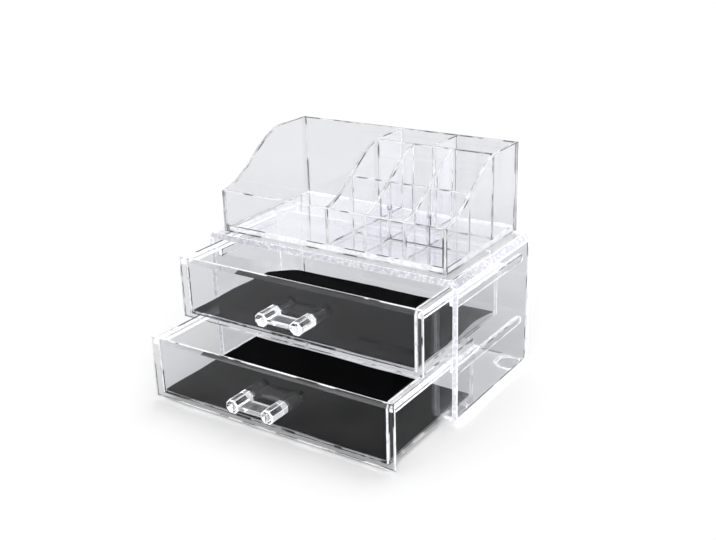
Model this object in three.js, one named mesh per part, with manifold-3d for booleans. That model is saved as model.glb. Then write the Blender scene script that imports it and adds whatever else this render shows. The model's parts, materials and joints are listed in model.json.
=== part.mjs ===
// Dustproof makeup organizer: a clear two-drawer case with an open nine-cell tray standing on its top.
// Millimetres, +Z up. X runs across the front, Y runs from the front into the case, and the drawers pull out
// toward -Y. The origin is on the ground, at the middle of the footprint with the drawers open as shown.
// Every piece is cut from clear sheet or bar, apart from the two black cloth liners.

import * as THREE from 'three';
import Module from 'manifold-3d';
import { mergeVertices } from 'three/addons/utils/BufferGeometryUtils.js';

// Seams and running clearances
const BOND = 0.3;            // seam between two pieces that are fixed to each other
const RUN = 0.9;             // sideways play of a drawer between its rails
const RIDE = 0.3;            // a runner above its rail, the tray above the case
const PANEL_SIDE_PLAY = 0.5; // drawer front inside the case walls
const STOP_GAP = 1;          // closed drawer short of the case back
const PANEL_BACK_PLAY = 0.6; // closed drawer front ahead of the rails and the floor sheet

// Case
const CASE_W = 238;          // outside, across the side walls
const CASE_D = 127;          // outside, front to back
const SIDE_T = 4.5;          // side walls
const TOP_T = 5.5;           // top sheet
const BACK_T = 3;            // back sheet
const CASE_FLOOR_T = 2;      // floor sheet
const FLOOR_PLAY = 0.4;      // floor sheet below the lower drawer
const BEVEL_RUN = 4.5;       // bevel of the top sheet, inward
const BEVEL_DROP = 5;        // bevel of the top sheet, downward

// Feet, octagonal pads with a bevelled lower edge
const WALL_LIFT = 4;         // lower edge of the case walls above the ground
const FOOT_ACROSS = 25;
const FOOT_BEVEL_RUN = 2.4;  // bevel, inward
const FOOT_BEVEL_DROP = 2;   // bevel, upward
const FOOT_INSET = 1.2;      // foot inside the outline of the case, and behind the floor's front edge

// Rails on the inside of the side walls
const RAIL_H = 7;
const RAIL_OUT = 4.3;
const RAIL_BACK = 8;         // rail end ahead of the case back sheet

// Drawers
const PANEL_H = 53.5;        // drawer front, height
const PANEL_T = 3;
const PANEL_LIFT = 3;        // lower drawer front above the ground
const PANEL_GAP = 1.8;       // between the two fronts, and above the upper one
const TUB_T = 3;             // side walls and back wall of a drawer
const TUB_RAISE = 3;         // underside of a drawer above the lower edge of its front
const TUB_FLOOR_T = 2;
const RUNNER_RISE = 45.9;     // underside of a runner above the lower edge of the front
const RUNNER_T = 3;
const RUNNER_PLAY = 0.8;     // runner short of the case wall
const RIM_BEVEL_H = 5.6;     // bevel along the inner top edge of each drawer wall
const RIM_BEVEL_T = 1.3;
const LINER_T = 1.2;
const LINER_PLAY = 0.8;      // liner short of the drawer walls
const LOWER_OPEN = 83;       // how far the drawers stand open
const UPPER_OPEN = 43;

// Handles: two octagonal posts joined by a flat bar
const POST_ACROSS = 11;
const POST_LEN = 19;
const POST_SPACING = 33;
const POST_EDGE = 0.8;       // broken edge round the free end of a post
const GRIP_SET_BACK = 5.5;   // bar in front of the foot of the posts
const GRIP_T = 4;
const HANDLE_RISE = 25;      // handle axis above the lower edge of the front

// Tray
const TRAY_SIDE_LAND = 12.6; // tray inside the outer face of the case wall
const TRAY_SET_BACK = 6.5;   // tray behind the front edge of the case
const TRAY_BACK_LAND = 2;    // tray ahead of the back of the case
const TRAY_T = 3;
const TRAY_FLOOR_T = 5;
const TRAY_FRONT_H = 36;
const TRAY_BACK_H = 74.5;
const SWEEP_START = 0.5;     // S-curve of the side walls, from the front of the tray
const SWEEP_END = 82.5;
const SWEEP_EASE = 0.34;     // pull of the curve's two handles, as a share of its run
const MAIN_DIVIDER_X = -2;
const FRONT_CROSS_Y = 38;    // middle of the front cross wall, from the front of the tray
const REAR_CROSS_Y = 77;
const FRONT_CELLS = 3;       // cells across the right part, in the front and the middle row

const CURVE_STEPS = 20;

// The two drawers, from the ground up
const ROWS = [
  { row: 'lower', level: 0, open: LOWER_OPEN },
  { row: 'upper', level: 1, open: UPPER_OPEN },
];

// Colours as seen
const CLEAR = { color: 0xe9ebf2, roughness: 0.06, metalness: 0, transparent: true, opacity: 0.3 };
const CLOTH = { color: 0x121216, roughness: 0.95, metalness: 0 };

const wasm = await Module();
wasm.setup();

// A closed geometry as a solid, and a solid as a geometry
function solidOf(geometry) {
  const bare = geometry.index ? geometry.toNonIndexed() : geometry.clone();
  bare.deleteAttribute('normal');
  bare.deleteAttribute('uv');
  const merged = mergeVertices(bare, 1e-4);
  return new wasm.Manifold(new wasm.Mesh({
    numProp: 3,
    vertProperties: new Float32Array(merged.attributes.position.array),
    triVerts: new Uint32Array(merged.index.array),
  }));
}

function geometryOf(solid) {
  const { vertProperties, triVerts } = solid.getMesh();
  const geometry = new THREE.BufferGeometry();
  geometry.setAttribute('position', new THREE.BufferAttribute(vertProperties, 3));
  geometry.setIndex(new THREE.BufferAttribute(triVerts, 1));
  geometry.computeVertexNormals();
  return geometry;
}

function named(name, geometry, look = CLEAR) {
  const mesh = new THREE.Mesh(geometry, new THREE.MeshStandardMaterial(look));
  mesh.name = name;
  return mesh;
}

// A sheet or bar between two corners
function block([x0, x1], [y0, y1], [z0, z1]) {
  const geometry = new THREE.BoxGeometry(x1 - x0, y1 - y0, z1 - z0);
  return geometry.translate((x0 + x1) / 2, (y0 + y1) / 2, (z0 + z1) / 2);
}

function outline(points) {
  return new THREE.Shape(points.map(([u, v]) => new THREE.Vector2(u, v)));
}

// An outline drawn in Y and Z, as thick as X runs from x0 to x1
function alongX(shape, [x0, x1], steps = 1) {
  const options = { depth: x1 - x0, bevelEnabled: false, curveSegments: steps };
  const geometry = new THREE.ExtrudeGeometry(shape, options);
  return geometry.applyMatrix4(new THREE.Matrix4().set(
    0, 0, 1, x0,
    1, 0, 0, 0,
    0, 1, 0, 0,
    0, 0, 0, 1,
  ));
}

// An outline drawn in X and Z, as deep as Y runs from y0 to y1
function alongY(shape, [y0, y1], steps = 1) {
  const options = { depth: y1 - y0, bevelEnabled: false, curveSegments: steps };
  const geometry = new THREE.ExtrudeGeometry(shape, options);
  return geometry.applyMatrix4(new THREE.Matrix4().set(
    1, 0, 0, 0,
    0, 0, -1, y1,
    0, 1, 0, 0,
    0, 0, 0, 1,
  ));
}

// A regular octagon with its flats square to the axes
function octagon(across, cx = 0, cy = 0) {
  const flat = across / 2;
  const half = flat * Math.tan(Math.PI / 8);
  return outline([
    [-half, -flat], [half, -flat], [flat, -half], [flat, half],
    [half, flat], [-half, flat], [-flat, half], [-flat, -half],
  ].map(([u, v]) => [cx + u, cy + v]));
}

const SIDES = [['left', -1], ['right', 1]];
// The stretch between two distances from the middle plane, on one side of it
const mirrored = (side, a, b) => (side < 0 ? [-b, -a] : [a, b]);

// Case: levels and faces that the other pieces take their places from
const halfW = CASE_W / 2;
const innerHalf = halfW - SIDE_T;
const seamHalf = innerHalf - BOND;
const panelPitch = PANEL_H + PANEL_GAP;
const topUnder = PANEL_LIFT + ROWS.length * panelPitch;
const caseTop = topUnder + TOP_T;
const backFace = CASE_D - BACK_T;
const railFront = PANEL_T + PANEL_BACK_PLAY;
const floorTop = PANEL_LIFT + TUB_RAISE - FLOOR_PLAY;
const floorUnder = floorTop - CASE_FLOOR_T;
const panelBottom = (row) => PANEL_LIFT + row * panelPitch;

function caseTopSheet() {
  // Side bevels from one profile and the back bevel from the other, front edge square
  const across = alongY(outline([
    [-halfW, topUnder], [halfW, topUnder], [halfW, caseTop - BEVEL_DROP],
    [halfW - BEVEL_RUN, caseTop], [BEVEL_RUN - halfW, caseTop], [-halfW, caseTop - BEVEL_DROP],
  ]), [0, CASE_D]);
  const deep = alongX(outline([
    [0, topUnder], [CASE_D, topUnder], [CASE_D, caseTop - BEVEL_DROP],
    [CASE_D - BEVEL_RUN, caseTop], [0, caseTop],
  ]), [-halfW, halfW]);
  return geometryOf(solidOf(across).intersect(solidOf(deep)));
}

// A rail's rear end is round when seen from the side
function railShape(top) {
  const end = backFace - RAIL_BACK;
  const r = RAIL_H / 2;
  const shape = new THREE.Shape();
  shape.moveTo(railFront, top - RAIL_H);
  shape.lineTo(end - r, top - RAIL_H);
  shape.absarc(end - r, top - r, r, -Math.PI / 2, Math.PI / 2, false);
  shape.lineTo(railFront, top);
  shape.closePath();
  return shape;
}

// A pad with its lower edge bevelled, its upper face at the given height
function footGeometry(high) {
  const pad = new THREE.ExtrudeGeometry(octagon(FOOT_ACROSS - 2 * FOOT_BEVEL_RUN), {
    depth: high, bevelThickness: FOOT_BEVEL_DROP, bevelSize: FOOT_BEVEL_RUN, bevelSegments: 1,
  }).translate(0, 0, FOOT_BEVEL_DROP);
  const above = block([-FOOT_ACROSS, FOOT_ACROSS], [-FOOT_ACROSS, FOOT_ACROSS], [high, high + FOOT_ACROSS]);
  return geometryOf(solidOf(pad).subtract(solidOf(above)));
}

function buildCase() {
  const group = new THREE.Group();
  group.add(named('case_top', caseTopSheet()));
  group.add(named('case_back',
    block([-seamHalf, seamHalf], [backFace, CASE_D], [WALL_LIFT, topUnder - BOND])));
  group.add(named('case_floor',
    block([-seamHalf, seamHalf], [railFront, backFace - BOND], [floorUnder, floorTop])));
  for (const [name, side] of SIDES) {
    group.add(named(`case_wall_${name}`,
      block(mirrored(side, innerHalf, halfW), [0, CASE_D], [WALL_LIFT, topUnder - BOND])));
    for (const { row, level } of ROWS) {
      const railTop = panelBottom(level) + RUNNER_RISE - RIDE;
      group.add(named(`rail_${row}_${name}`,
        alongX(railShape(railTop), mirrored(side, seamHalf - RAIL_OUT, seamHalf), CURVE_STEPS / 2)));
    }
    const toCentre = FOOT_INSET + FOOT_ACROSS / 2;
    for (const [end, footY] of [['front', railFront + toCentre], ['rear', CASE_D - toCentre]]) {
      const foot = named(`foot_${end}_${name}`, footGeometry(floorUnder - BOND));
      foot.position.set(side * (halfW - toCentre), footY, 0);
      group.add(foot);
    }
  }
  return group;
}

// Drawers
const panelHalf = innerHalf - PANEL_SIDE_PLAY;
const tubHalf = seamHalf - RAIL_OUT - RUN;
const tubInner = tubHalf - TUB_T;
const tubBack = backFace - STOP_GAP;
const tubFront = PANEL_T + BOND;

// A wall profile with the inner top edge bevelled: u is across the wall, from its outer to its inner face
function wallProfile(outer, inner, low, high) {
  const thin = inner - Math.sign(inner - outer) * RIM_BEVEL_T;
  return outline([[outer, low], [inner, low], [inner, high - RIM_BEVEL_H], [thin, high], [outer, high]]);
}

function handleGeometry() {
  // Drawn with the posts standing up Z from the panel, then laid down to point out of the front
  const reach = POST_LEN - POST_EDGE;
  const span = [-POST_SPACING / 2, POST_SPACING / 2];
  const posts = span.map((x) => {
    const shaft = new THREE.ExtrudeGeometry(octagon(POST_ACROSS, x), { depth: reach, bevelEnabled: false });
    const end = new THREE.ExtrudeGeometry(octagon(POST_ACROSS - 2 * POST_EDGE, x), {
      depth: reach, bevelThickness: POST_EDGE, bevelSize: POST_EDGE, bevelSegments: 1,
    });
    const below = block([x - POST_ACROSS, x + POST_ACROSS], [-POST_ACROSS, POST_ACROSS], [-POST_ACROSS, 0]);
    return solidOf(shaft).add(solidOf(end)).subtract(solidOf(below));
  });
  const grip = block(span, [-GRIP_T / 2, GRIP_T / 2], [GRIP_SET_BACK, reach]);
  const solid = posts[0].add(posts[1]).add(solidOf(grip));
  return geometryOf(solid).rotateX(Math.PI / 2);
}

function buildDrawer(row) {
  const group = new THREE.Group();
  const name = (piece) => `drawer_${row}_${piece}`;
  const rim = PANEL_H;
  const floorUp = TUB_RAISE + TUB_FLOOR_T;

  const panelProfile = outline([
    [0, 0], [PANEL_T, 0], [PANEL_T, rim - RIM_BEVEL_H], [PANEL_T - RIM_BEVEL_T, rim], [0, rim],
  ]);
  group.add(named(name('front'), alongX(panelProfile, [-panelHalf, panelHalf])));
  group.add(named(name('floor'),
    block([BOND - tubInner, tubInner - BOND], [tubFront, tubBack - TUB_T - BOND], [TUB_RAISE, floorUp])));
  group.add(named(name('back'),
    alongX(wallProfile(tubBack, tubBack - TUB_T, TUB_RAISE, rim), [BOND - tubInner, tubInner - BOND])));
  for (const [side, sign] of SIDES) {
    group.add(named(name(`wall_${side}`),
      alongY(wallProfile(sign * tubHalf, sign * tubInner, TUB_RAISE, rim), [tubFront, tubBack])));
    group.add(named(name(`runner_${side}`),
      block(mirrored(sign, tubHalf + BOND, innerHalf - RUNNER_PLAY), [tubFront, tubBack],
        [RUNNER_RISE, RUNNER_RISE + RUNNER_T])));
  }
  const linerHalf = tubInner - LINER_PLAY;
  group.add(named(name('liner'),
    block([-linerHalf, linerHalf], [PANEL_T + LINER_PLAY, tubBack - TUB_T - LINER_PLAY],
      [floorUp + BOND, floorUp + BOND + LINER_T]), CLOTH));

  const handle = named(name('handle'), handleGeometry());
  handle.position.set(0, -BOND, HANDLE_RISE);
  group.add(handle);
  return group;
}

// Tray, drawn from its own front left corner at floor level
const trayHalf = halfW - TRAY_SIDE_LAND;
const trayD = CASE_D - TRAY_SET_BACK - TRAY_BACK_LAND;
const trayInner = trayHalf - TRAY_T;
const trayRear = trayD - TRAY_T;

const sweep = new THREE.CubicBezierCurve(
  new THREE.Vector2(SWEEP_START, TRAY_FRONT_H),
  new THREE.Vector2(SWEEP_START + SWEEP_EASE * (SWEEP_END - SWEEP_START), TRAY_FRONT_H),
  new THREE.Vector2(SWEEP_END - SWEEP_EASE * (SWEEP_END - SWEEP_START), TRAY_BACK_H),
  new THREE.Vector2(SWEEP_END, TRAY_BACK_H),
);
const sweepPoints = sweep.getPoints(CURVE_STEPS).map((p) => [p.x, p.y]);

// Height of the S-curve at a distance from the front of the tray
function sweepHeight(y) {
  if (y <= SWEEP_START) return TRAY_FRONT_H;
  if (y >= SWEEP_END) return TRAY_BACK_H;
  const i = sweepPoints.findIndex(([u]) => u >= y);
  const [[u0, v0], [u1, v1]] = [sweepPoints[i - 1], sweepPoints[i]];
  return v0 + (v1 - v0) * (y - u0) / (u1 - u0);
}

// Outline of an upright sheet from y0 to y1 under the S-curve, slotted from below where cross walls pass
function sweptSheet(y0, y1, low, slots = []) {
  const points = [[y0, low]];
  for (const y of slots) {
    const half = TRAY_T / 2 + BOND;
    const lap = lapHeight(y);
    points.push([y - half, low], [y - half, lap + BOND / 2], [y + half, lap + BOND / 2], [y + half, low]);
  }
  points.push([y1, low], [y1, sweepHeight(y1)]);
  const between = sweepPoints.filter(([u]) => u > y0 && u < y1).reverse();
  points.push(...between, [y0, sweepHeight(y0)]);
  return outline(points);
}

const cellFloor = TRAY_FLOOR_T + BOND;
const thickAt = (middle) => [middle - TRAY_T / 2, middle + TRAY_T / 2];
const lapHeight = (y) => cellFloor + (sweepHeight(y) - cellFloor) / 2;

function buildTray() {
  const group = new THREE.Group();
  const seam = trayInner - BOND;
  const between = [TRAY_T + BOND, trayRear - BOND];
  group.add(named('tray_floor', block([-seam, seam], between, [0, TRAY_FLOOR_T])));
  group.add(named('tray_wall_front', block([-seam, seam], [0, TRAY_T], [0, TRAY_FRONT_H])));
  group.add(named('tray_wall_back', block([-seam, seam], [trayRear, trayD], [0, TRAY_BACK_H])));
  for (const [name, side] of SIDES) {
    group.add(named(`tray_wall_${name}`,
      alongX(sweptSheet(0, trayD, 0), mirrored(side, trayInner, trayHalf))));
  }
  group.add(named('tray_divider_main',
    alongX(sweptSheet(...between, cellFloor), thickAt(MAIN_DIVIDER_X))));

  // Right part: cross walls from the main divider to the right wall, lapped with the short dividers
  const rightStart = MAIN_DIVIDER_X + TRAY_T / 2;
  const rightSpan = trayInner - rightStart;
  const cell = (rightSpan - (FRONT_CELLS - 1) * TRAY_T) / FRONT_CELLS;
  const dividerXs = Array.from({ length: FRONT_CELLS - 1 },
    (_, i) => rightStart + (i + 1) * cell + (i + 0.5) * TRAY_T);
  const dividerEnd = REAR_CROSS_Y - TRAY_T / 2 - BOND;
  dividerXs.forEach((x, i) => {
    const sheet = sweptSheet(TRAY_T + BOND, dividerEnd, cellFloor, [FRONT_CROSS_Y]);
    group.add(named(`tray_divider_${i + 1}`, alongX(sheet, thickAt(x))));
  });

  const span = [rightStart + BOND, seam];
  const high = sweepHeight(FRONT_CROSS_Y);
  const lap = lapHeight(FRONT_CROSS_Y);
  const slotHalf = TRAY_T / 2 + BOND;
  const frontCross = [[span[0], cellFloor], [span[1], cellFloor], [span[1], high]];
  for (const x of [...dividerXs].reverse()) {
    const [near, far] = [x + slotHalf, x - slotHalf];
    frontCross.push([near, high], [near, lap - BOND / 2], [far, lap - BOND / 2], [far, high]);
  }
  frontCross.push([span[0], high]);
  group.add(named('tray_cross_front',
    alongY(outline(frontCross), thickAt(FRONT_CROSS_Y))));
  group.add(named('tray_cross_rear',
    block(span, thickAt(REAR_CROSS_Y), [cellFloor, sweepHeight(REAR_CROSS_Y)])));

  const rearX = rightStart + rightSpan / 2;
  group.add(named('tray_divider_rear',
    block(thickAt(rearX), [REAR_CROSS_Y + TRAY_T / 2 + BOND, between[1]], [cellFloor, TRAY_BACK_H])));
  group.position.set(0, TRAY_SET_BACK, caseTop + RIDE);
  return group;
}

// Assembly, with the drawers standing open and the footprint's middle at the origin
const organizer = new THREE.Group();
organizer.add(buildCase());
for (const { row, level, open } of ROWS) {
  const drawer = buildDrawer(row);
  drawer.position.set(0, -open, panelBottom(level));
  organizer.add(drawer);
}
organizer.add(buildTray());
const frontReach = LOWER_OPEN + BOND + POST_LEN;
organizer.position.y = (frontReach - CASE_D) / 2;

export default organizer;
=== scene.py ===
"""A clear two-drawer makeup organizer with a lift-off tray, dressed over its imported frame.

Lengths are metres. X runs across the front, Y from the front into the case and Z up from
the table.
"""

import json
import math

import bmesh
import bpy
from bpy.props import FloatProperty, FloatVectorProperty, IntProperty, PointerProperty
from mathutils import Matrix, Vector, noise


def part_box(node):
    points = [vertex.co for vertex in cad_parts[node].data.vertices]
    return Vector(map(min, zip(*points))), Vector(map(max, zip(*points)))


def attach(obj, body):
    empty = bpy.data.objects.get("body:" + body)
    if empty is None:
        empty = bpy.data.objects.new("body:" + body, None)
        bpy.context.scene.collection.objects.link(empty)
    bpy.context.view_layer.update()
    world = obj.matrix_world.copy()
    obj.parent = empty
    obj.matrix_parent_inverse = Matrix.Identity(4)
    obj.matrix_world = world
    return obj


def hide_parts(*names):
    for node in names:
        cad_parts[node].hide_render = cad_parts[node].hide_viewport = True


bl_info = {
    "name": "Clear Makeup Organizer",
    "version": (1, 0, 0),
    "blender": (4, 5, 0),
    "location": "View3D > Sidebar > Organizer",
    "description": "Dresses the frame of a clear two-drawer makeup organizer",
    "category": "Object",
}

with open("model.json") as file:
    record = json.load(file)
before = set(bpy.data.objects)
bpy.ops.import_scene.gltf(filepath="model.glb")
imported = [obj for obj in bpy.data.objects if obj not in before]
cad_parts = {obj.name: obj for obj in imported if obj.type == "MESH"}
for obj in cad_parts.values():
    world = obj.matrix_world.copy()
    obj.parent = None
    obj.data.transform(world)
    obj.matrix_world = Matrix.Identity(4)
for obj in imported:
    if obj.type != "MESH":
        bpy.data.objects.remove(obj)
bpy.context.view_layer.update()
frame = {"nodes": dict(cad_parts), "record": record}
BODIES = frame["record"]["behaviour"]["bodies"]
DRAWERS = ("lower", "upper")
SIDES = ("left", "right")
MM = 0.001


# Sizes and colours that a user would change


class OrganizerSheets(bpy.types.PropertyGroup):
    """The clear sheets and bars."""

    edge: FloatProperty(
        name="Edge radius", description="Rounding of a cut edge",
        default=0.6 * MM, min=0.05 * MM, max=1.0 * MM, unit="LENGTH", precision=5,
    )
    steps: IntProperty(
        name="Edge steps", description="Faces round a cut edge", default=2, min=1, max=4,
    )
    tint: FloatVectorProperty(
        name="Sheet tint", description="Light left after one sheet", subtype="COLOR",
        default=(0.980, 0.983, 0.996), size=3, min=0.0, max=1.0,
    )
    # Painted reflection: the darker patches of these edges stand in for dark surroundings seen in
    # them
    edge_painted_dark: FloatVectorProperty(
        name="Edge tint", description="Darker patches of the polished edges", subtype="COLOR",
        default=(0.64, 0.64, 0.70), size=3, min=0.0, max=1.0,
    )
    case_edge_painted_dark: FloatVectorProperty(
        name="Case edge tint", description="Darker patches of the edges of the case",
        subtype="COLOR", default=(0.66, 0.65, 0.77), size=3, min=0.0, max=1.0,
    )
    # Painted glow: emission on the polished edges, standing in for light that the sheets lead to
    # them
    painted_edge_glow: FloatProperty(
        name="Led light", description="Light that the sheets lead to their polished edges",
        default=0.34, min=0.0, max=1.0,
    )
    milk: FloatProperty(
        name="Edge milk", description="How far the cut edges are white instead of clear",
        default=0.78, min=0.0, max=1.0, subtype="FACTOR",
    )


class OrganizerCloth(bpy.types.PropertyGroup):
    """The loose liners."""

    colour: FloatVectorProperty(
        name="Cloth colour", description="Colour of the liners", subtype="COLOR",
        default=(0.0022, 0.0022, 0.0030), size=3, min=0.0, max=1.0,
    )
    ripple: FloatProperty(
        name="Ripple", description="Height of the waves in a liner",
        default=1.1 * MM, min=0.0, max=4.0 * MM, unit="LENGTH", precision=5,
    )
    thickness: FloatProperty(
        name="Thickness", description="Thickness of the cloth",
        default=1.0 * MM, min=0.3 * MM, max=2.0 * MM, unit="LENGTH", precision=5,
    )


class OrganizerStage(bpy.types.PropertyGroup):
    """Floor, lamps and camera."""

    level: FloatProperty(
        name="Surrounding light", description="Strength of the light from all round",
        default=0.128, min=0.0, max=2.0,
    )
    dome: FloatProperty(
        name="Dome light", description="Strength of the even light from the whole ceiling",
        default=1.65, min=0.0, max=20.0,
    )
    lamp: FloatProperty(
        name="Overhead light", description="Strength of the wide light from above",
        default=0.85, min=0.0, max=10.0,
    )
    fill: FloatProperty(
        name="Front light", description="Strength of the wide light from the front",
        default=1.4, min=0.0, max=10.0,
    )
    backdrop: FloatProperty(
        name="Backdrop through clear pieces", description="Pale grey that clear pieces show",
        default=0.83, min=0.0, max=1.0, subtype="FACTOR",
    )


# Sizes and limits of the dressing that the frame doesn't give

HANDLE_EDGE = 0.9 * MM
FOOT_BEVEL_RUN = 2.4 * MM
FOOT_BEVEL_DROP = 2.0 * MM
# Share of half a bar's height by which its rear end is rounded
RAIL_END = 0.96
RUNNER_END = 0.1
# Points nearer than this are one, in a sheet and where a tree closes a shell
SAME_POINT = 2e-6
SHELL_POINT = 1e-6
# Faces that turn less than this are one, and an edge that turns more is rounded
FLAT_TURN = math.radians(0.4)
SHARP_TURN = 0.3
# How squarely a face looks along an axis, 1 being straight along it
BROAD_FACE = 0.99
SLANTED_FACE = 0.95
FRONT_FACE = 0.9
UNDER_FACE = 0.6
# The rims of the handle posts look to the front between these
HANDLE_RIM = (0.25, 0.92)
# Areas in square metres above which a face of a sheet, or of a bar or foot, is kept flat
FLAT_SHEET_AREA = 2e-5
FLAT_BAR_AREA = 4e-6

CLOTH_COLUMNS = 84
CLOTH_ROWS = 48
RIPPLE_SEEDS = {"lower": 11.0, "upper": 37.0}
# Waves across and along a liner, and their share of the ripple
SLOW_WAVES = (4.2, 2.6, 0.8)
FINE_WAVES = (11.0, 7.0, 0.25)
RIPPLE_BASE = 0.5
# The left edge of a liner lifts. The upper one has its left rear corner trimmed and its right
# rear edge curled. Each takes a share of the width and length, and fades by a power
EDGE_LIFT = 1.0 * MM
LIFT_ACROSS = (0.07, 0.0)
LIFT_ALONG = (0.30, 0.80)
LIFT_FADE = 1.5
REAR_TRIM = 18.0 * MM
TRIM_ACROSS = (0.10, 0.0)
TRIM_FADE = 1.3
REAR_CURL = 5.0 * MM
CURL_ACROSS = (0.86, 1.0)
CURL_ALONG = (0.4, 1.0)
CURL_FADE = 1.4

# Where the camera stands, and its yaw round the front, pitch down and roll in degrees
CAMERA_PLACE = (0.44539, -0.62320, 0.39696)
CAMERA_TURN = (34.077, 21.105, -1.805)
CAMERA_LENS = 51.646
CAMERA_SENSOR = 36.0
# Name, direction and width in degrees of each wide light, and the setting of its strength
LIGHTS = (
    ("dome", (0.0, 0.0, 1.0), 130.0, "dome"),
    ("overhead", (0.05, 0.40, 1.15), 45.0, "lamp"),
    ("front", (0.60, -0.85, 0.50), 50.0, "fill"),
)
TABLE_RADIUS = 9.0
# Colour of the table, and the glow that the camera alone sees
TABLE_WHITE = 0.92
TABLE_GLOW = 0.02
# Shares of the backdrop that the table shows, and gives off, through a clear piece
TABLE_THROUGH = 0.55
TABLE_THROUGH_GLOW = 0.36
TABLE_THROUGH_TINT = (0.975, 0.980, 1.0, 1.0)
# Painted shade in reflections: tones that clear faces mirror off the table, darker nearer this
# spot, by the distance in metres of the table from it
MIRRORED_SHADE_SPOT = (0.12, 0.03, 0.0)
MIRRORED_SHADE_TONES = (
    (0.25, (0.10, 0.10, 0.12)), (0.37, (0.42, 0.42, 0.46)),
    (0.50, (0.54, 0.54, 0.58)), (0.66, (0.90, 0.90, 0.95)),
)
# How far noise shifts that distance
MIRRORED_SHADE_CLOUDS = 0.20
# Light that clear faces mirror from the room: level with them, and from this height upwards
MIRROR_LOW = 0.36
MIRROR_HIGH = 1.44
MIRROR_TOP = 0.5
# The room seen through clear pieces: pale, with a dark band. It fades in between the first two
# heights and out between the last two, 1 being straight up
ROOM_PALE = 0.8
ROOM_DARK = (0.08, 0.08, 0.096)
ROOM_BAND = (0.30, 0.42, 0.66, 0.76)
# Share of the surrounding light that is left to rays that pass through a clear piece
PASSED_LIGHT = 0.45
# Bounces that light may take between the many clear sheets, and off them
CLEAR_BOUNCES = 40
GLOSSY_BOUNCES = 16
LIGHT_CLAMP = 3.0


# Nodes

# Kinds of socket by the type of their value
KINDS = {float: "Float", int: "Int", Vector: "Vector", tuple: "Color", type(None): "Material"}


def feed(tree, socket, value):
    """Links a socket to another node's output, or sets its own value."""
    if isinstance(value, bpy.types.NodeSocket):
        tree.links.new(value, socket)
    else:
        socket.default_value = value


def add(tree, kind, place, inputs=None, **settings):
    """A node with its settings, and its inputs fed by name or number."""
    node = tree.nodes.new(kind)
    node.location = place
    for key, value in settings.items():
        setattr(node, key, value)
    for key, value in (inputs or {}).items():
        feed(tree, node.inputs[key], value)
    return node


def calc(tree, operation, place, *terms):
    """What a math node makes of one, two or three terms."""
    node = add(tree, "ShaderNodeMath", place, dict(enumerate(terms)), operation=operation)
    return node.outputs[0]


def ramp(tree, place, factor, stops):
    """The colour that a ramp with these stops, from low to high, gives for a factor."""
    node = add(tree, "ShaderNodeValToRGB", place, {"Fac": factor})
    elements = node.color_ramp.elements
    elements[0].position = stops[0][0]
    elements[1].position = stops[-1][0]
    for position, _ in stops[1:-1]:
        elements.new(position)
    for element, (_, colour) in zip(elements, stops):
        element.color = (*colour, 1.0)
    return node.outputs["Color"]


def new_tree(name, kind, inputs, outputs):
    """A node tree with named sockets, and the node where it is entered."""
    tree = bpy.data.node_groups.new(name, kind)
    for label, value in inputs.items():
        socket = tree.interface.new_socket(
            label, in_out="INPUT", socket_type=f"NodeSocket{KINDS[type(value)]}",
        )
        if value is not None:
            socket.default_value = value
    for label, value_kind in outputs.items():
        tree.interface.new_socket(label, in_out="OUTPUT", socket_type=f"NodeSocket{value_kind}")
    return tree, add(tree, "NodeGroupInput", (-1400, 0))


# Materials

ACRYLIC_IOR = 1.49
WHITE = (1.0, 1.0, 1.0)
# How the surface of a broad face, of a rounded edge and of a cut one is finished
BROAD = {"haze": 0.02, "scratch": 0.05, "wave": 0.4}
BEND = {"haze": 0.25, "scratch": 0.04, "wave": 0.6, "milk": 0.65, "lets_light": 0.6, "gleam": 0.5}
SAWN = {"haze": 0.30, "scratch": 0.10, "wave": 1.0, "lets_light": 0.6}


def shader_tree(name):
    """A new material with an empty node tree."""
    material = bpy.data.materials.new(name)
    material.use_nodes = True
    material.node_tree.nodes.clear()
    return material, material.node_tree


def handling_marks():
    """Faint haze, fine scratches and a slow wave, for every moulded or cut clear piece."""
    group, enter = new_tree(
        "handling_marks", "ShaderNodeTree",
        {"Haze": 0.02, "Haze Size": 60.0, "Scratch": 0.03, "Wave": 0.4},
        {"Roughness": "Float", "Height": "Float"},
    )
    place = add(group, "ShaderNodeTexCoord", (-900, -300)).outputs["Object"]
    haze = add(group, "ShaderNodeTexNoise", (-600, 200), {
        "Vector": place, "Scale": enter.outputs["Haze Size"], "Detail": 3.0, "Roughness": 0.6,
    })
    rough = calc(group, "MULTIPLY", (-300, 200), haze.outputs["Fac"], enter.outputs["Haze"])
    stretch = add(group, "ShaderNodeMapping", (-650, -150), {
        "Vector": place, "Rotation": (0.2, 0.1, 0.5), "Scale": (900.0, 25.0, 900.0),
    })
    lines = add(group, "ShaderNodeTexNoise", (-450, -150), {
        "Vector": stretch.outputs["Vector"], "Scale": 1.0, "Detail": 1.0,
    })
    few = add(group, "ShaderNodeMapRange", (-250, -150), {
        "Value": lines.outputs["Fac"], "From Min": 0.70, "From Max": 0.78,
    })
    scratch = calc(group, "MULTIPLY", (-50, -150), few.outputs["Result"], enter.outputs["Scratch"])
    slow = add(group, "ShaderNodeTexNoise", (-600, -450), {
        "Vector": place, "Scale": 22.0, "Detail": 1.0,
    })
    add(group, "NodeGroupOutput", (600, 0), {
        "Roughness": calc(group, "ADD", (150, 100), rough, scratch),
        "Height": calc(group, "MULTIPLY", (-300, -450), slow.outputs["Fac"], enter.outputs["Wave"]),
    })


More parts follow.
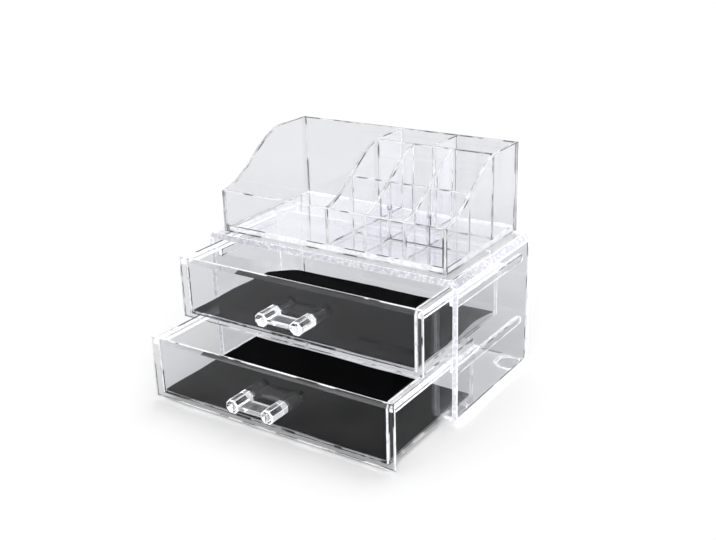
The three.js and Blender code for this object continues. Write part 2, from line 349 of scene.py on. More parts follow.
def light_patches():
    """Two colours by turns, a painted reflection of the dark and bright surroundings that a bent or
    cut edge shows.
    """
    group, enter = new_tree(
        "light_patches", "ShaderNodeTree",
        {"Scale": 34.0, "Share": 0.5, "Softness": 0.05, "Dark": (0.0, 0.0, 0.0, 1.0),
         "Light": (1.0, 1.0, 1.0, 1.0)},
        {"Color": "Color"},
    )
    place = add(group, "ShaderNodeTexCoord", (-900, 300)).outputs["Object"]
    field = add(group, "ShaderNodeTexNoise", (-600, 300), {
        "Vector": place, "Scale": enter.outputs["Scale"], "Detail": 2.0, "Roughness": 0.7,
    })
    share, softness = enter.outputs["Share"], enter.outputs["Softness"]
    step = add(group, "ShaderNodeMapRange", (-200, 200), {
        "Value": field.outputs["Fac"],
        "From Min": calc(group, "SUBTRACT", (-500, 0), share, softness),
        "From Max": calc(group, "ADD", (-500, -200), share, softness),
    })
    blend = add(group, "ShaderNodeMixRGB", (200, 0), {
        "Fac": step.outputs["Result"], "Color1": enter.outputs["Dark"],
        "Color2": enter.outputs["Light"],
    })
    add(group, "NodeGroupOutput", (500, 0), {"Color": blend.outputs["Color"]})


def clear_material(name, tint, haze, scratch, wave, milk=0.0, lets_light=0.94, gleam=1.0):
    """Clear cast plastic, with some milk where it is cut. It throws a light grey shadow."""
    material, tree = shader_tree(name)
    marks = add(
        tree, "ShaderNodeGroup", (-500, 0), {"Haze": haze, "Scratch": scratch, "Wave": wave},
        node_tree=bpy.data.node_groups["handling_marks"],
    )
    bump = add(tree, "ShaderNodeBump", (-250, -250), {
        "Strength": 0.25, "Distance": 0.2 * MM, "Height": marks.outputs["Height"],
    })
    body = add(tree, "ShaderNodeBsdfPrincipled", (0, 0), {
        "Base Color": (*tint, 1.0), "Roughness": marks.outputs["Roughness"], "IOR": ACRYLIC_IOR,
        "Transmission Weight": 1.0 - milk, "Specular Tint": (gleam, gleam, gleam, 1.0),
        "Normal": bump.outputs["Normal"],
    })
    path = add(tree, "ShaderNodeLightPath", (0, 450))
    through = add(tree, "ShaderNodeBsdfTransparent", (0, 150), {
        "Color": (lets_light, lets_light, lets_light, 1.0),
    })
    mix = add(tree, "ShaderNodeMixShader", (350, 0), {
        "Fac": path.outputs["Is Shadow Ray"], 1: body.outputs["BSDF"], 2: through.outputs["BSDF"],
    })
    add(tree, "ShaderNodeOutputMaterial", (600, 0), {"Surface": mix.outputs["Shader"]})
    return material


def edge_material(name, tint, surface, dark, light, scale, share, softness, glow=0.0):
    """A clear material with two painted reflection colours by turns, and a painted glow standing in
    for light that its sheet leads to it.
    """
    tree = clear_material(name, tint, **surface).node_tree
    body = next(node for node in tree.nodes if node.type == "BSDF_PRINCIPLED")
    colours = add(
        tree, "ShaderNodeGroup", (-500, 350),
        {"Scale": scale, "Share": share, "Softness": softness, "Dark": (*dark, 1.0),
         "Light": (*light, 1.0)},
        node_tree=bpy.data.node_groups["light_patches"],
    )
    feed(tree, body.inputs["Base Color"], colours.outputs["Color"])
    # Painted glow: the edge gives off light in its patch colours, though it is no lamp
    if glow > 0.0:
        feed(tree, body.inputs["Emission Color"], colours.outputs["Color"])
        body.inputs["Emission Strength"].default_value = glow


def cloth_material(colour):
    """Matt black woven backing with a short nap."""
    tree = shader_tree("woven_liner")[1]
    place = add(tree, "ShaderNodeTexCoord", (-900, 0)).outputs["Object"]
    threads = [
        add(
            tree, "ShaderNodeTexWave", (-500, -200 - 200 * n),
            {"Vector": place, "Scale": 620.0, "Distortion": 0.6}, bands_direction=way,
        ).outputs["Fac"]
        for n, way in enumerate("XY")
    ]
    nap = add(tree, "ShaderNodeTexNoise", (-500, 200), {
        "Vector": place, "Scale": 900.0, "Detail": 3.0,
    }).outputs["Fac"]
    patch = add(tree, "ShaderNodeTexNoise", (-500, 450), {
        "Vector": place, "Scale": 35.0, "Detail": 2.0,
    }).outputs["Fac"]
    shade = calc(tree, "MULTIPLY", (-250, 300), nap, patch)
    tones = ((0.1, [0.6 * part for part in colour]), (0.5, [1.7 * part for part in colour]))
    weave = calc(tree, "MAXIMUM", (-250, -300), *threads)
    bump = add(tree, "ShaderNodeBump", (200, -200), {
        "Strength": 0.5, "Distance": 0.3 * MM, "Height": calc(tree, "ADD", (-50, -200), weave, nap),
    })
    body = add(tree, "ShaderNodeBsdfPrincipled", (400, 0), {
        "Base Color": ramp(tree, (-50, 300), shade, tones), "Roughness": 0.93,
        "Specular IOR Level": 0.08, "Normal": bump.outputs["Normal"],
    })
    add(tree, "ShaderNodeOutputMaterial", (700, 0), {"Surface": body.outputs["BSDF"]})


def face_finishes(tint):
    """The broad faces, which differ in the light that they let through to their shadow."""
    clear_material("clear_sheet", tint, **BROAD)
    clear_material("wall_sheet", tint, **BROAD, lets_light=0.84)
    clear_material("drawer_sheet", tint, **BROAD, lets_light=0.50, gleam=0.70)
    clear_material("floor_sheet", tint, **BROAD, lets_light=0.15)
    clear_material("rim_bevel", tint, haze=0.10, scratch=0.10, wave=1.0, milk=0.12)
    clear_material("moulded_clear", tint, haze=0.01, scratch=0.01, wave=0.2, gleam=0.3)


def edge_finishes(sheets):
    """The rounded edges, the front faces of the drawer floors and the cut edges, with painted
    reflections and painted glow.
    """
    tint, milky = sheets.tint, {**SAWN, "milk": sheets.milk}
    # Painted reflection: near-black dashes on the rounded corners of the sheets, and paler ones on
    # the tray
    edge_material(
        "eased_corner", tint, BEND, dark=(0.015, 0.015, 0.018), light=tint,
        scale=34.0, share=0.49, softness=0.02,
    )
    edge_material(
        "tray_corner", tint, BEND, dark=(0.06, 0.06, 0.07), light=tint,
        scale=34.0, share=0.47, softness=0.03,
    )
    # Painted reflection: a nearly black line with grey dashes on the front face of each drawer
    # floor
    edge_material(
        "glued_joint", WHITE, {**SAWN, "milk": 0.85, "gleam": 0.5},
        dark=(0.010, 0.010, 0.012), light=(0.45, 0.45, 0.48),
        scale=75.0, share=0.56, softness=0.04,
    )
    # Painted reflection patches and a faint painted glow on the white band of the tray floor
    edge_material(
        "tray_band", WHITE, milky, dark=(0.82, 0.82, 0.85), light=WHITE,
        scale=210.0, share=0.48, softness=0.06, glow=0.14,
    )
    # Painted glow on the polished edges, stronger on the faces that look down or to the rear
    for name, gain in (("polished_edge", 1.0), ("led_edge", 2.4)):
        edge_material(
            name, WHITE, milky, dark=sheets.edge_painted_dark, light=WHITE,
            scale=190.0, share=0.42, softness=0.08, glow=gain * sheets.painted_edge_glow,
        )
    # Painted reflection patches and a faint painted glow on the cut edges of the tray
    edge_material(
        "tray_edge", WHITE, {**SAWN, "haze": 0.20, "milk": 0.35},
        dark=sheets.edge_painted_dark, light=WHITE, scale=120.0, share=0.48, softness=0.06, glow=0.08,
    )
    # Painted reflection: lavender patches on the edges of the case
    edge_material(
        "case_edge", WHITE, milky, dark=sheets.case_edge_painted_dark, light=WHITE,
        scale=380.0, share=0.54, softness=0.12,
    )


def finishes():
    """The materials, made once."""
    if "clear_sheet" not in bpy.data.materials:
        sheets = bpy.context.scene.organizer_sheets
        handling_marks()
        light_patches()
        face_finishes(sheets.tint)
        edge_finishes(sheets)
        cloth_material(bpy.context.scene.organizer_cloth.colour)
    return bpy.data.materials


# Finishes of a piece, in the order of its material slots

FACE, EDGE, CORNER, FRONT, RIM, UNDER = range(6)
CUT = ("polished_edge", "eased_corner", "polished_edge", "rim_bevel", "led_edge")
SHEET = ("clear_sheet", *CUT)
BACK_SHEET = ("wall_sheet", *CUT)
FLOOR_SHEET = ("floor_sheet", *CUT)
DRAWER_SHEET = ("drawer_sheet", *CUT)
DRAWER_WALL = (
    "drawer_sheet", "tray_edge", "eased_corner", "polished_edge", "rim_bevel", "led_edge",
)
DRAWER_BACK = (
    "drawer_sheet", "polished_edge", "polished_edge", "polished_edge", "rim_bevel", "led_edge",
)
DRAWER_FLOOR = (
    "floor_sheet", "polished_edge", "eased_corner", "glued_joint", "rim_bevel", "led_edge",
)
FOOT = ("floor_sheet", "polished_edge", "led_edge", "polished_edge", "rim_bevel", "rim_bevel")
TOP_SHEET = ("clear_sheet", "case_edge", "polished_edge", "case_edge", "clear_sheet", "led_edge")
WALL_SHEET = (
    "wall_sheet", "polished_edge", "polished_edge", "case_edge", "wall_sheet", "led_edge",
)
TRAY_SHEET = ("clear_sheet", "tray_edge", "tray_corner", "tray_edge", "rim_bevel", "tray_edge")
TRAY_FLOOR = ("clear_sheet", "tray_band", "eased_corner", "tray_band", "rim_bevel", "led_edge")
MOULDING = (
    "moulded_clear", "moulded_clear", "polished_edge", "moulded_clear", "polished_edge",
    "moulded_clear",
)


# Shapes


def new_object(name, data):
    """An object in the scene, at the origin."""
    thing = bpy.data.objects.new(name, data)
    bpy.context.scene.collection.objects.link(thing)
    return thing


def finished(piece, body, nodes):
    """Hands a piece over to the frame: what it rides on, and what it stands for."""
    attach(piece, body)
    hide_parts(*nodes)


def eased_edges(work, radius, steps):
    """Rounds every cut edge of a sheet, and marks the faces of the rounding."""
    bmesh.ops.remove_doubles(work, verts=work.verts, dist=SAME_POINT)
    bmesh.ops.dissolve_limit(work, angle_limit=FLAT_TURN, verts=work.verts, edges=work.edges)
    sharp = [
        edge for edge in work.edges
        if len(edge.link_faces) == 2 and edge.calc_face_angle() > SHARP_TURN
    ]
    for face in work.faces:
        face.material_index = FACE
    rounding = bmesh.ops.bevel(
        work, geom=sharp, offset=radius, offset_type="OFFSET", segments=steps, profile=0.5,
        affect="EDGES", clamp_overlap=True,
    )
    for face in rounding["faces"]:
        face.material_index = CORNER
    bmesh.ops.remove_doubles(work, verts=work.verts, dist=SAME_POINT)


def thin_axis(mesh):
    """The axis along which a sheet is thinnest."""
    spans = [[vertex.co[axis] for vertex in mesh.vertices] for axis in range(3)]
    sizes = [max(span) - min(span) for span in spans]
    return sizes.index(min(sizes))


def finish_by_face(mesh, finish, thin):
    """Gives each face its slot: broad, rounded, slanted, or cut by the way it faces."""
    # Clearing the slots resets the marks of the rounding, so they are read first
    marked = [face.material_index for face in mesh.polygons]
    mesh.materials.clear()
    for name in finish:
        mesh.materials.append(finishes()[name])
    for face, mark in zip(mesh.polygons, marked):
        facing = abs(face.normal[thin])
        if mark == CORNER or facing > BROAD_FACE:
            face.material_index = mark
        elif facing > SLANTED_FACE:
            face.material_index = RIM
        elif face.normal.y < -FRONT_FACE:
            face.material_index = FRONT
        elif face.normal.z < -UNDER_FACE or face.normal.y > UNDER_FACE:
            face.material_index = UNDER
        else:
            face.material_index = EDGE


def ease_and_finish(mesh, source, finish, radius, thin=None, flat_area=FLAT_SHEET_AREA):
    """Fills a mesh with the eased, finished shape of another. Its small faces are smooth."""
    work = bmesh.new()
    work.from_mesh(source)
    eased_edges(work, radius, bpy.context.scene.organizer_sheets.steps)
    work.to_mesh(mesh)
    work.free()
    finish_by_face(mesh, finish, thin_axis(mesh) if thin is None else thin)
    for face in mesh.polygons:
        face.use_smooth = face.area < flat_area


def sheet_from(node, finish, radius=None):
    """A sheet with eased, polished edges where the frame has a plain one."""
    name = f"{node}_clear"
    mesh = bpy.data.meshes.new(name)
    edge = radius or bpy.context.scene.organizer_sheets.edge
    ease_and_finish(mesh, frame["nodes"][node].data, finish, edge)
    return new_object(name, mesh)


def dress(body, nodes, finish):
    """Sheets for several nodes of one body."""
    for node in nodes:
        finished(sheet_from(node, finish), body, [node])


# Geometry trees

GRID = {
    "Spacing X": 0.2, "Spacing Y": 0.1, "Columns": 2, "Rows": 2,
    "Grid Turn": Vector((0, 0, 0)), "Centre": Vector((0, 0, 0)), "Material": None,
}


def closed_shell(tree, base, risen, place):
    """A raised face and its base, which is turned over, as one closed shell."""
    under = add(tree, "GeometryNodeFlipFaces", (place[0] - 250, place[1] - 100), {"Mesh": base})
    whole = add(tree, "GeometryNodeJoinGeometry", (place[0] - 100, place[1]))
    for half in (risen, under.outputs["Mesh"]):
        tree.links.new(half, whole.inputs["Geometry"])
    closed = add(tree, "GeometryNodeMergeByDistance", place, {
        "Geometry": whole.outputs["Geometry"], "Distance": SHELL_POINT,
    })
    return closed.outputs["Geometry"]


def placed_copies(tree, sizes, shape):
    """Ends a tree: copies on a grid of points, made real, with the material."""
    grid = add(tree, "GeometryNodeMeshGrid", (0, -400), {
        "Size X": sizes["Spacing X"], "Size Y": sizes["Spacing Y"],
        "Vertices X": sizes["Columns"], "Vertices Y": sizes["Rows"],
    })
    turned = add(tree, "GeometryNodeTransform", (200, -400), {
        "Geometry": grid.outputs["Mesh"], "Translation": sizes["Centre"],
        "Rotation": sizes["Grid Turn"],
    })
    copies = add(tree, "GeometryNodeInstanceOnPoints", (400, 0), {
        "Points": turned.outputs["Geometry"], "Instance": shape,
    })
    real = add(tree, "GeometryNodeRealizeInstances", (600, 0), {
        "Geometry": copies.outputs["Instances"],
    })
    look = add(tree, "GeometryNodeSetMaterial", (800, 0), {
        "Geometry": real.outputs["Geometry"], "Material": sizes["Material"],
    })
    add(tree, "NodeGroupOutput", (1000, 0), {"Geometry": look.outputs["Geometry"]})


def pads_tree():
    """Octagonal pads with a bevelled lower edge, on a grid."""
    if "octagonal_pads" in bpy.data.node_groups:
        return bpy.data.node_groups["octagonal_pads"]
    tree, enter = new_tree("octagonal_pads", "GeometryNodeTree", {
        "Across Flats": 25.0 * MM, "Bevel Run": FOOT_BEVEL_RUN, "Bevel Drop": FOOT_BEVEL_DROP,
        "Height": 3.3 * MM, **GRID,
    }, {"Geometry": "Geometry"})
    sizes = enter.outputs
    half = calc(tree, "MULTIPLY", (-1150, 550), sizes["Across Flats"], 0.5)
    low_half = calc(tree, "SUBTRACT", (-1000, 400), half, sizes["Bevel Run"])
    radius = calc(tree, "DIVIDE", (-850, 300), low_half, math.cos(math.pi / 8))
    low = add(tree, "GeometryNodeMeshCircle", (-700, 300), {
        "Vertices": 8, "Radius": radius,
    }, fill_type="NGON")
    square = add(tree, "GeometryNodeTransform", (-550, 300), {
        "Geometry": low.outputs["Mesh"], "Rotation": (0, 0, math.pi / 8),
    })
    bevel = add(tree, "GeometryNodeExtrudeMesh", (-400, 300), {
        "Mesh": square.outputs["Geometry"], "Offset Scale": sizes["Bevel Drop"],
        "Individual": False,
    })
    widen = add(tree, "GeometryNodeScaleElements", (-200, 300), {
        "Geometry": bevel.outputs["Mesh"], "Selection": bevel.outputs["Top"],
        "Scale": calc(tree, "DIVIDE", (-400, 550), half, low_half),
    })
    rest = calc(tree, "SUBTRACT", (-200, 550), sizes["Height"], sizes["Bevel Drop"])
    pad = add(tree, "GeometryNodeExtrudeMesh", (0, 300), {
        "Mesh": widen.outputs["Geometry"], "Selection": bevel.outputs["Top"],
        "Offset Scale": rest, "Individual": False,
    })
    base, risen = square.outputs["Geometry"], pad.outputs["Mesh"]
    placed_copies(tree, sizes, closed_shell(tree, base, risen, (250, 200)))
    return tree


def bars_tree():
    """Flat bars with a rounded rear end, on a grid."""
    if "flat_bars" in bpy.data.node_groups:
        return bpy.data.node_groups["flat_bars"]
    tree, enter = new_tree("flat_bars", "GeometryNodeTree", {
        "Length": 100.0 * MM, "Bar Height": 7.0 * MM, "Thickness": 4.3 * MM,
        "End Radius": 3.4 * MM, **GRID,
    }, {"Geometry": "Geometry"})
    sizes = enter.outputs
    side = add(tree, "GeometryNodeCurvePrimitiveQuadrilateral", (-1100, 300), {
        "Width": sizes["Length"], "Height": sizes["Bar Height"],
    })
    where = add(tree, "GeometryNodeInputPosition", (-1100, 550))
    parts = add(tree, "ShaderNodeSeparateXYZ", (-950, 550), {"Vector": where.outputs["Position"]})
    rear = calc(tree, "GREATER_THAN", (-800, 550), parts.outputs["X"], 0.0)
    bend = add(tree, "GeometryNodeFilletCurve", (-500, 300), {
        "Curve": side.outputs["Curve"], "Count": 6,
        "Radius": calc(tree, "MULTIPLY", (-650, 550), rear, sizes["End Radius"]),
    }, mode="POLY")
    flat = add(tree, "GeometryNodeFillCurve", (-350, 300), {
        "Curve": bend.outputs["Curve"],
    }, mode="NGONS")
    thick = add(tree, "GeometryNodeExtrudeMesh", (-200, 300), {
        "Mesh": flat.outputs["Mesh"], "Offset Scale": sizes["Thickness"], "Individual": False,
    })
    shell = closed_shell(tree, flat.outputs["Mesh"], thick.outputs["Mesh"], (50, 200))
    offset = add(tree, "ShaderNodeCombineXYZ", (-50, 500), {
        "Z": calc(tree, "MULTIPLY", (-200, 500), sizes["Thickness"], -0.5),
    })
    middle = add(tree, "GeometryNodeTransform", (150, 300), {
        "Geometry": shell, "Translation": offset.outputs["Vector"],
    })
    upright = add(tree, "GeometryNodeTransform", (300, 300), {
        "Geometry": middle.outputs["Geometry"], "Rotation": (math.pi / 2, 0, math.pi / 2),
    })
    placed_copies(tree, sizes, upright.outputs["Geometry"])
    return tree


def grown(tree, name, values, thin, finish):
    """The plain mesh that a tree gives for these inputs, with eased edges."""
    piece = new_object(name, bpy.data.meshes.new(name))
    modifier = piece.modifiers.new(tree.name, "NODES")
    modifier.node_group = tree
    sockets = {s.name: s.identifier for s in tree.interface.items_tree if s.in_out == "INPUT"}
    for label, value in values.items():
        modifier[sockets[label]] = value
    modifier[sockets["Material"]] = finishes()[finish[FACE]]
    bpy.context.view_layer.update()
    evaluated = piece.evaluated_get(bpy.context.evaluated_depsgraph_get())
    mesh = bpy.data.meshes.new_from_object(evaluated)
    piece.modifiers.clear()
    piece.data = mesh
    edge = bpy.context.scene.organizer_sheets.edge
    ease_and_finish(mesh, mesh, finish, edge, thin, FLAT_BAR_AREA)
    return piece


def spread(nodes):
    """The box round several nodes."""
    boxes = [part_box(node) for node in nodes]
    low = Vector([min(box[0][axis] for box in boxes) for axis in range(3)])
    high = Vector([max(box[1][axis] for box in boxes) for axis in range(3)])
    return low, high


# Liners


def rise(value, start, end):
    """0 before start, 1 after end, and even between them."""
    return min(1.0, max(0.0, (value - start) / (end - start)))


def ripple(u, v, seed):
    """Slow waves, never below the floor."""
    height = RIPPLE_BASE
    for shift, (across, along, share) in ((0.0, SLOW_WAVES), (5.0, FINE_WAVES)):
        height += share * noise.noise(Vector((u * across, v * along, seed + shift)))
    return max(0.0, height)


def plain_cut(u, v):
    """No trim, and a slight lift along the left wall."""
    swell = math.sin(math.pi * rise(v, *LIFT_ALONG)) ** 2
    return 0.0, EDGE_LIFT * rise(u, *LIFT_ACROSS) ** LIFT_FADE * swell


def trimmed_cut(u, v):
    """The left rear corner is trimmed, and the right rear edge curls up."""
    trim = REAR_TRIM * rise(u, *TRIM_ACROSS) ** TRIM_FADE
    swell = math.sin(math.pi * rise(v, *CURL_ALONG))
    curl = REAR_CURL * rise(u, *CURL_ACROSS) ** CURL_FADE * swell
    return trim, curl + plain_cut(u, v)[1]


def cloth_mesh(name, low, size, seed, cut):
    """The upper face of a liner. The cut gives its trim and lift at each point."""
    cloth = bpy.context.scene.organizer_cloth
    work = bmesh.new()
    grid = []
    for row in range(CLOTH_ROWS + 1):
        line = []
        for column in range(CLOTH_COLUMNS + 1):
            u, v = column / CLOTH_COLUMNS, row / CLOTH_ROWS
            trim, lift = cut(u, v)
            height = cloth.thickness + lift + ripple(u, v, seed) * cloth.ripple
            x, y = low.x + u * size[0], low.y + v * (size[1] - trim)
            line.append(work.verts.new((x, y, low.z + height)))
        grid.append(line)
    for near, far in zip(grid, grid[1:]):
        for column in range(CLOTH_COLUMNS):
            work.faces.new((near[column], near[column + 1], far[column + 1], far[column]))
    mesh = bpy.data.meshes.new(name)
    work.to_mesh(mesh)
    work.free()
    mesh.materials.append(finishes()["woven_liner"])
    for face in mesh.polygons:
        face.use_smooth = True
    return mesh


# Stage


def sight(tree):
    """Sockets that are 1 for a ray that the camera sees directly, through or off a clear piece.

    The last one is 1 for every ray that has just passed through one.
    """
    path = add(tree, "ShaderNodeLightPath", (-1200, 300)).outputs
    unscattered = calc(tree, "COMPARE", (-1000, 300), path["Diffuse Depth"], 0.0, 0.5)
    passed = path["Is Transmission Ray"]
    through = calc(tree, "MULTIPLY", (-800, 300), unscattered, passed)
    gloss = calc(tree, "MULTIPLY", (-800, 100), unscattered, path["Is Glossy Ray"])
    mirrored = calc(tree, "MINIMUM", (-800, -100), path["Glossy Depth"], 1.0)
    off = calc(tree, "MULTIPLY", (-600, 0), gloss, mirrored)
    return path["Is Camera Ray"], through, off, passed


def chosen(tree, start, *choices):
    """A number that each choice replaces where its socket is 1. A colour counts as its grey."""
    value = start
    for n, (socket, other) in enumerate(choices):
        mix = add(tree, "ShaderNodeMix", (-400 + 200 * n, 300), {
            "Factor": socket, "A": value, "B": other,
        }, data_type="FLOAT")
        value = mix.outputs["Result"]
    return value


def table_material(backdrop):
    """White for the camera, and other tones through clear pieces. Off them it shows painted shade,
    darker nearer a spot by the organizer.
    """
    material, tree = shader_tree("white_table")
    camera, through, off, _ = sight(tree)
    place = add(tree, "ShaderNodeTexCoord", (-1200, -200)).outputs["Object"]
    distance = add(tree, "ShaderNodeVectorMath", (-1000, -200), {
        0: place, 1: MIRRORED_SHADE_SPOT,
    }, operation="DISTANCE")
    cloudy = add(tree, "ShaderNodeTexNoise", (-1200, -500), {
        "Vector": place, "Scale": 20.0, "Detail": 2.0,
    })
    uneven = calc(
        tree, "MULTIPLY_ADD", (-900, -350),
        cloudy.outputs["Fac"], MIRRORED_SHADE_CLOUDS, distance.outputs["Value"],
    )
    # Painted shade in reflections: the table, as clear faces mirror it, is darker nearer the spot
    seen = ramp(tree, (-700, -200), uneven, MIRRORED_SHADE_TONES)
    shade = chosen(tree, TABLE_WHITE, (through, TABLE_THROUGH * backdrop), (off, seen))
    tinted = add(tree, "ShaderNodeMixRGB", (100, 0), {
        "Fac": through, "Color1": shade, "Color2": TABLE_THROUGH_TINT,
    }, blend_type="MULTIPLY")
    matt = add(tree, "ShaderNodeBsdfDiffuse", (300, 0), {"Color": tinted.outputs["Color"]})
    glow = add(tree, "ShaderNodeEmission", (300, -200), {
        "Strength": chosen(
            tree, 0.0, (camera, TABLE_GLOW), (through, TABLE_THROUGH_GLOW * backdrop),
        ),
    })
    both = add(tree, "ShaderNodeAddShader", (550, 0), {
        0: matt.outputs["BSDF"], 1: glow.outputs["Emission"],
    })
    add(tree, "ShaderNodeOutputMaterial", (800, 0), {"Surface": both.outputs["Shader"]})
    return material


def table(backdrop):
    """A wide round white floor."""
    work = bmesh.new()
    bmesh.ops.create_circle(work, cap_ends=True, radius=TABLE_RADIUS, segments=64)
    mesh = bpy.data.meshes.new("table")
    work.to_mesh(mesh)
    work.free()
    mesh.materials.append(table_material(backdrop))
    new_object("table", mesh)


def surroundings(level, backdrop):
    """Even light, white for the camera. Clear pieces show a pale room with a dark band."""
    world = bpy.data.worlds.new("pale_room")
    bpy.context.scene.world = world
    world.use_nodes = True
    tree = world.node_tree
    tree.nodes.clear()
    camera, through, off, passed = sight(tree)
    coords = add(tree, "ShaderNodeTexCoord", (-1200, -400))
    parts = add(tree, "ShaderNodeSeparateXYZ", (-1000, -400), {
        "Vector": coords.outputs["Generated"],
    })
    gleam = add(tree, "ShaderNodeMapRange", (-800, -400), {
        "Value": parts.outputs["Z"], "From Min": 0.0, "From Max": MIRROR_TOP,
        "To Min": MIRROR_LOW, "To Max": MIRROR_HIGH,
    })
    tones = ([ROOM_PALE * backdrop] * 3, ROOM_DARK, ROOM_DARK, [ROOM_PALE] * 3)
    room = ramp(tree, (-800, -700), parts.outputs["Z"], tuple(zip(ROOM_BAND, tones)))
    strength = chosen(
        tree, level, (passed, PASSED_LIGHT * level), (through, room),
        (off, gleam.outputs["Result"]), (camera, 1.0),
    )
    light = add(tree, "ShaderNodeBackground", (500, 0), {
        "Color": (*WHITE, 1.0), "Strength": strength,
    })
    add(tree, "ShaderNodeOutputWorld", (800, 0), {"Surface": light.outputs["Background"]})


def wide_light(name, direction, width, strength):
    """A soft light from far away."""
    data = bpy.data.lights.new(name, "SUN")
    data.energy = strength
    data.angle = math.radians(width)
    light = new_object(name, data)
    light.rotation_euler = Vector(direction).to_track_quat("Z", "Y").to_euler()


def camera_turn(yaw, pitch, roll):
    """Rotation of a camera that looks down by pitch from yaw round the front, tipped by roll."""
    y, e, r = (math.radians(angle) for angle in (yaw, pitch, roll))
    back = Vector((math.sin(y) * math.cos(e), -math.cos(y) * math.cos(e), math.sin(e)))
    right = (-back).cross(Vector((0, 0, 1))).normalized()
    up = right.cross(-back)
    across = math.cos(r) * right + math.sin(r) * up
    upward = -math.sin(r) * right + math.cos(r) * up
    return Matrix((across, upward, back)).transposed()


def place_camera():
    """The camera at the viewing angle of the photograph."""
    data = bpy.data.cameras.new("camera")
    data.lens = CAMERA_LENS
    data.sensor_width = CAMERA_SENSOR
    data.clip_start = 0.02
    data.clip_end = 60.0
    eye = new_object("camera", data)
    eye.matrix_world = Matrix.Translation(CAMERA_PLACE) @ camera_turn(*CAMERA_TURN).to_4x4()
    bpy.context.scene.camera = eye


# Operators


class ORGANIZER_OT_stage(bpy.types.Operator):
    """Set up the floor, the lamps and the camera"""

    bl_idname = "organizer.stage"
    bl_label = "Stage"

    def execute(self, context):
        scene = context.scene
        settings = scene.organizer_stage
        table(settings.backdrop)
        surroundings(settings.level, settings.backdrop)
        for name, direction, width, strength in LIGHTS:
            wide_light(name, direction, width, getattr(settings, strength))
        place_camera()
        scene.view_settings.view_transform = "Standard"
        scene.cycles.max_bounces = CLEAR_BOUNCES
        scene.cycles.transmission_bounces = CLEAR_BOUNCES
        scene.cycles.transparent_max_bounces = CLEAR_BOUNCES
        scene.cycles.glossy_bounces = GLOSSY_BOUNCES
        scene.cycles.sample_clamp_indirect = LIGHT_CLAMP
        return {"FINISHED"}


class ORGANIZER_OT_case(bpy.types.Operator):
    """Build the top, back, floor and side sheets of the case"""

    bl_idname = "organizer.case"
    bl_label = "Case sheets"

    def execute(self, context):
        dress("case", ["case_top"], TOP_SHEET)
        dress("case", ["case_wall_left", "case_wall_right"], WALL_SHEET)
        dress("case", ["case_back"], BACK_SHEET)
        dress("case", ["case_floor"], FLOOR_SHEET)
        return {"FINISHED"}


class ORGANIZER_OT_feet(bpy.types.Operator):
    """Build the four octagonal feet"""

    bl_idname = "organizer.feet"
    bl_label = "Feet"

    def execute(self, context):
        nodes = [f"foot_{end}_{side}" for end in ("front", "rear") for side in SIDES]
        low, high = spread(nodes)
        one_low, one_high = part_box(nodes[0])
        across = one_high.x - one_low.x
        feet = grown(pads_tree(), "case_feet_clear", {
            "Across Flats": across, "Bevel Run": FOOT_BEVEL_RUN, "Bevel Drop": FOOT_BEVEL_DROP,
            "Height": one_high.z - one_low.z,
            "Spacing X": high.x - low.x - across, "Spacing Y": high.y - low.y - across,
            "Columns": 2, "Rows": 2, "Grid Turn": (0, 0, 0),
            "Centre": ((low.x + high.x) / 2, (low.y + high.y) / 2, low.z),
        }, 2, FOOT)
        finished(feet, "case", nodes)
        return {"FINISHED"}


class ORGANIZER_OT_rails(bpy.types.Operator):
    """Build the rails in the case and the runners on the drawers"""

    bl_idname = "organizer.rails"
    bl_label = "Rails and runners"

    def bars(self, name, body, nodes, rows, end):
        """One mesh for all bars of a body, with their rear ends rounded by a share."""
        low, high = spread(nodes)
        one_low, one_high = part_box(nodes[0])
        thick, tall = one_high.x - one_low.x, one_high.z - one_low.z
        piece = grown(bars_tree(), name, {
            "Length": one_high.y - one_low.y, "Bar Height": tall, "Thickness": thick,
            "End Radius": end * tall / 2,
            "Spacing X": high.x - low.x - thick, "Spacing Y": high.z - low.z - tall,
            "Columns": 2, "Rows": rows, "Grid Turn": (math.pi / 2, 0, 0),
            "Centre": tuple((low + high) / 2),
        }, 0, SHEET)
        finished(piece, body, nodes)

    def execute(self, context):
        rails = [f"rail_{row}_{side}" for row in DRAWERS for side in SIDES]
        self.bars("case_rails_clear", "case", rails, 2, RAIL_END)
        for row in DRAWERS:
            runners = [f"drawer_{row}_runner_{side}" for side in SIDES]
            self.bars(f"drawer_{row}_runners_clear", f"drawer_{row}", runners, 1, RUNNER_END)
        return {"FINISHED"}


class ORGANIZER_OT_drawers(bpy.types.Operator):
    """Build the fronts, floors and walls of both drawers"""

    bl_idname = "organizer.drawers"
    bl_label = "Drawer sheets"

    def execute(self, context):
        for row in DRAWERS:
            drawer = f"drawer_{row}"
            dress(drawer, [f"{drawer}_front"], DRAWER_SHEET)
            dress(drawer, [f"{drawer}_back"], DRAWER_BACK)
            dress(drawer, [f"{drawer}_wall_{side}" for side in SIDES], DRAWER_WALL)
            dress(drawer, [f"{drawer}_floor"], DRAWER_FLOOR)
        return {"FINISHED"}


class ORGANIZER_OT_handles(bpy.types.Operator):
    """Build the two moulded handles"""

    bl_idname = "organizer.handles"
    bl_label = "Handles"

    def polish_rims(self, mesh):
        """The slanting rims round the front ends of the posts take the polished finish."""
        low, high = HANDLE_RIM
        for face in mesh.polygons:
            if low < -face.normal.y < high:
                face.material_index = RIM

    def execute(self, context):
        for row in DRAWERS:
            node = f"drawer_{row}_handle"
            handle = sheet_from(node, MOULDING, HANDLE_EDGE)
            self.polish_rims(handle.data)
            finished(handle, f"drawer_{row}", [node])
        return {"FINISHED"}


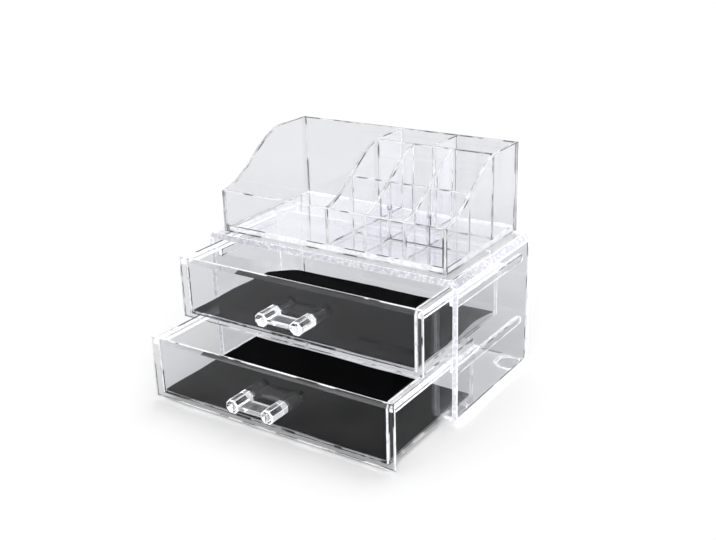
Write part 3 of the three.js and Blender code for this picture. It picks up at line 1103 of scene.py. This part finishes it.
class ORGANIZER_OT_liners(bpy.types.Operator):
    """Lay a black cloth in each drawer"""

    bl_idname = "organizer.liners"
    bl_label = "Liners"

    def liner(self, row, cut):
        """A cloth of the liner's size, with its thickness below it."""
        node = f"drawer_{row}_liner"
        low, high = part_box(node)
        flat = (high.x - low.x, high.y - low.y)
        name = f"{node}_cloth"
        piece = new_object(name, cloth_mesh(name, low, flat, RIPPLE_SEEDS[row], cut))
        thick = piece.modifiers.new("thickness", "SOLIDIFY")
        thick.thickness = bpy.context.scene.organizer_cloth.thickness
        thick.offset = -1.0
        finished(piece, f"drawer_{row}", [node])

    def execute(self, context):
        self.liner("lower", plain_cut)
        self.liner("upper", trimmed_cut)
        return {"FINISHED"}


class ORGANIZER_OT_tray(bpy.types.Operator):
    """Build the tray with its swept walls and dividers"""

    bl_idname = "organizer.tray"
    bl_label = "Tray"

    def execute(self, context):
        dress("tray", ["tray_floor"], TRAY_FLOOR)
        dress("tray", [node for node in BODIES["tray"] if node != "tray_floor"], TRAY_SHEET)
        return {"FINISHED"}


class ORGANIZER_PT_panel(bpy.types.Panel):
    """Steps that dress the organizer"""

    bl_label = "Makeup Organizer"
    bl_idname = "ORGANIZER_PT_panel"
    bl_space_type = "VIEW_3D"
    bl_region_type = "UI"
    bl_category = "Organizer"

    def draw(self, context):
        for operator in STEPS:
            self.layout.operator(operator.bl_idname)
        for group in (context.scene.organizer_sheets, context.scene.organizer_cloth,
                      context.scene.organizer_stage):
            box = self.layout.box()
            for name in group.__annotations__:
                box.prop(group, name)


STEPS = (
    ORGANIZER_OT_stage, ORGANIZER_OT_case, ORGANIZER_OT_feet, ORGANIZER_OT_rails,
    ORGANIZER_OT_drawers, ORGANIZER_OT_handles, ORGANIZER_OT_liners, ORGANIZER_OT_tray,
)
GROUPS = (OrganizerSheets, OrganizerCloth, OrganizerStage)


def register():
    for item in (*GROUPS, *STEPS, ORGANIZER_PT_panel):
        bpy.utils.register_class(item)
    bpy.types.Scene.organizer_sheets = PointerProperty(type=OrganizerSheets)
    bpy.types.Scene.organizer_cloth = PointerProperty(type=OrganizerCloth)
    bpy.types.Scene.organizer_stage = PointerProperty(type=OrganizerStage)


def unregister():
    del bpy.types.Scene.organizer_sheets
    del bpy.types.Scene.organizer_cloth
    del bpy.types.Scene.organizer_stage
    for item in reversed((*GROUPS, *STEPS, ORGANIZER_PT_panel)):
        bpy.utils.unregister_class(item)


def main():
    register()
    for operator in STEPS:
        group, name = operator.bl_idname.split(".")
        getattr(getattr(bpy.ops, group), name)()


if __name__ == "__main__":
    main()
